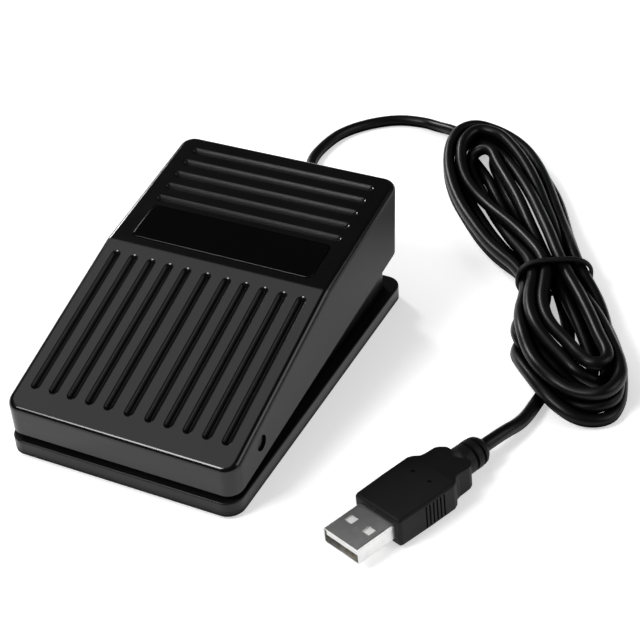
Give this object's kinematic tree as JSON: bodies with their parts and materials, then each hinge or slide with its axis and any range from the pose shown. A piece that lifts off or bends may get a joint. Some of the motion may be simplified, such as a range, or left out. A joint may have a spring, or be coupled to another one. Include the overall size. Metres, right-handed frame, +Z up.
{
  "type": "usb foot pedal switch",
  "caption": "Black wedge-shaped foot pedal switch: a grooved, spring-returned cover hinged over a shallow base tray, with a tied hank of cable ending in a USB-A plug.",
  "frame": {"origin": "on the floor under the middle of the base's footprint", "axes": "+X to the right, +Y from the low toe end to the raised rear edge where the cable leaves, +Z up"},
  "size_m": [0.1412, 0.1985, 0.0396],
  "materials": {
    "cover_plastic": "polished black ABS",
    "base_plastic": "semi-gloss black ABS",
    "label_film": "mirror-gloss black, blank",
    "pin_plastic": "moulded black acetal",
    "foot_rubber": "matte",
    "board_laminate": "green solder mask",
    "screw_steel": "zinc plated",
    "spring_steel": "bright spring wire",
    "switch_case": "black phenolic",
    "lever_steel": "stainless strip",
    "plunger_button": "moulded red",
    "terminal_brass": "tinned brass",
    "chip_epoxy": "moulding compound",
    "crystal_can": "drawn can",
    "cap_sleeve": "shrink sleeve",
    "resistor_ceramic": "ceramic",
    "header_nylon": "natural nylon",
    "clamp_plastic": "moulded black",
    "insulation_red": "PVC",
    "insulation_white": "PVC",
    "insulation_green": "PVC",
    "insulation_black": "PVC",
    "cable_jacket": "satin black PVC",
    "moulded_pvc": "satin black PVC overmould",
    "shell_steel": "bright nickel plate",
    "tongue_white": "white insulator",
    "contact_gold": "gold flash"
  },
  "bodies": {
    "base": {"base_housing": "base_plastic", "hinge_pins": "pin_plastic", "rubber_feet": "foot_rubber", "circuit_board": "board_laminate", "board_screws": "screw_steel", "controller_chip": "chip_epoxy", "crystal": "crystal_can", "capacitors": "cap_sleeve", "chip_resistors": "resistor_ceramic", "wire_header": "header_nylon", "switch_body": "switch_case", "switch_terminals": "terminal_brass", "return_springs": "spring_steel", "inner_cable": "cable_jacket", "cable_clamp": "clamp_plastic", "clamp_screws": "screw_steel", "wire_red": "insulation_red", "wire_white": "insulation_white", "wire_green": "insulation_green", "wire_black": "insulation_black", "cable_boot": "moulded_pvc", "usb_cable_lead": "cable_jacket", "cable_hank": "cable_jacket", "usb_cable_tail": "cable_jacket", "cable_tie": "moulded_pvc", "plug_overmould": "moulded_pvc", "plug_shell": "shell_steel", "plug_tongue": "tongue_white", "plug_contacts": "contact_gold"},
    "pedal": {"pedal_cover": "cover_plastic", "label_plate": "label_film"},
    "switch_lever": {"switch_lever": "lever_steel"},
    "switch_plunger": {"switch_plunger": "plunger_button"}
  },
  "joints": [
    {"name": "pedal_hinge", "type": "hinge", "parent": "base", "child": "pedal", "pos_m": [0, -0.0353, 0.0139], "axis": [-1, 0, 0], "range_deg": [0, 7.5], "stiffness_Nm_per_rad": 2.2, "springref_deg": -10.31, "deforming": ["return_springs"]},
    {"name": "lever_hinge", "type": "hinge", "parent": "base", "child": "switch_lever", "pos_m": [0, -0.0186, 0.0176], "axis": [-1, 0, 0], "range_deg": [0, 16.1]},
    {"name": "plunger_slide", "type": "slide", "parent": "base", "child": "switch_plunger", "axis": [0, 0, -1], "range_m": [0, 0.00152]}
  ],
  "couplings": [
    {"joint": "lever_hinge", "follows": "pedal_hinge", "ratio": 2.13},
    {"joint": "plunger_slide", "follows": "pedal_hinge", "m_per_rad": 0.0114}
  ]
}
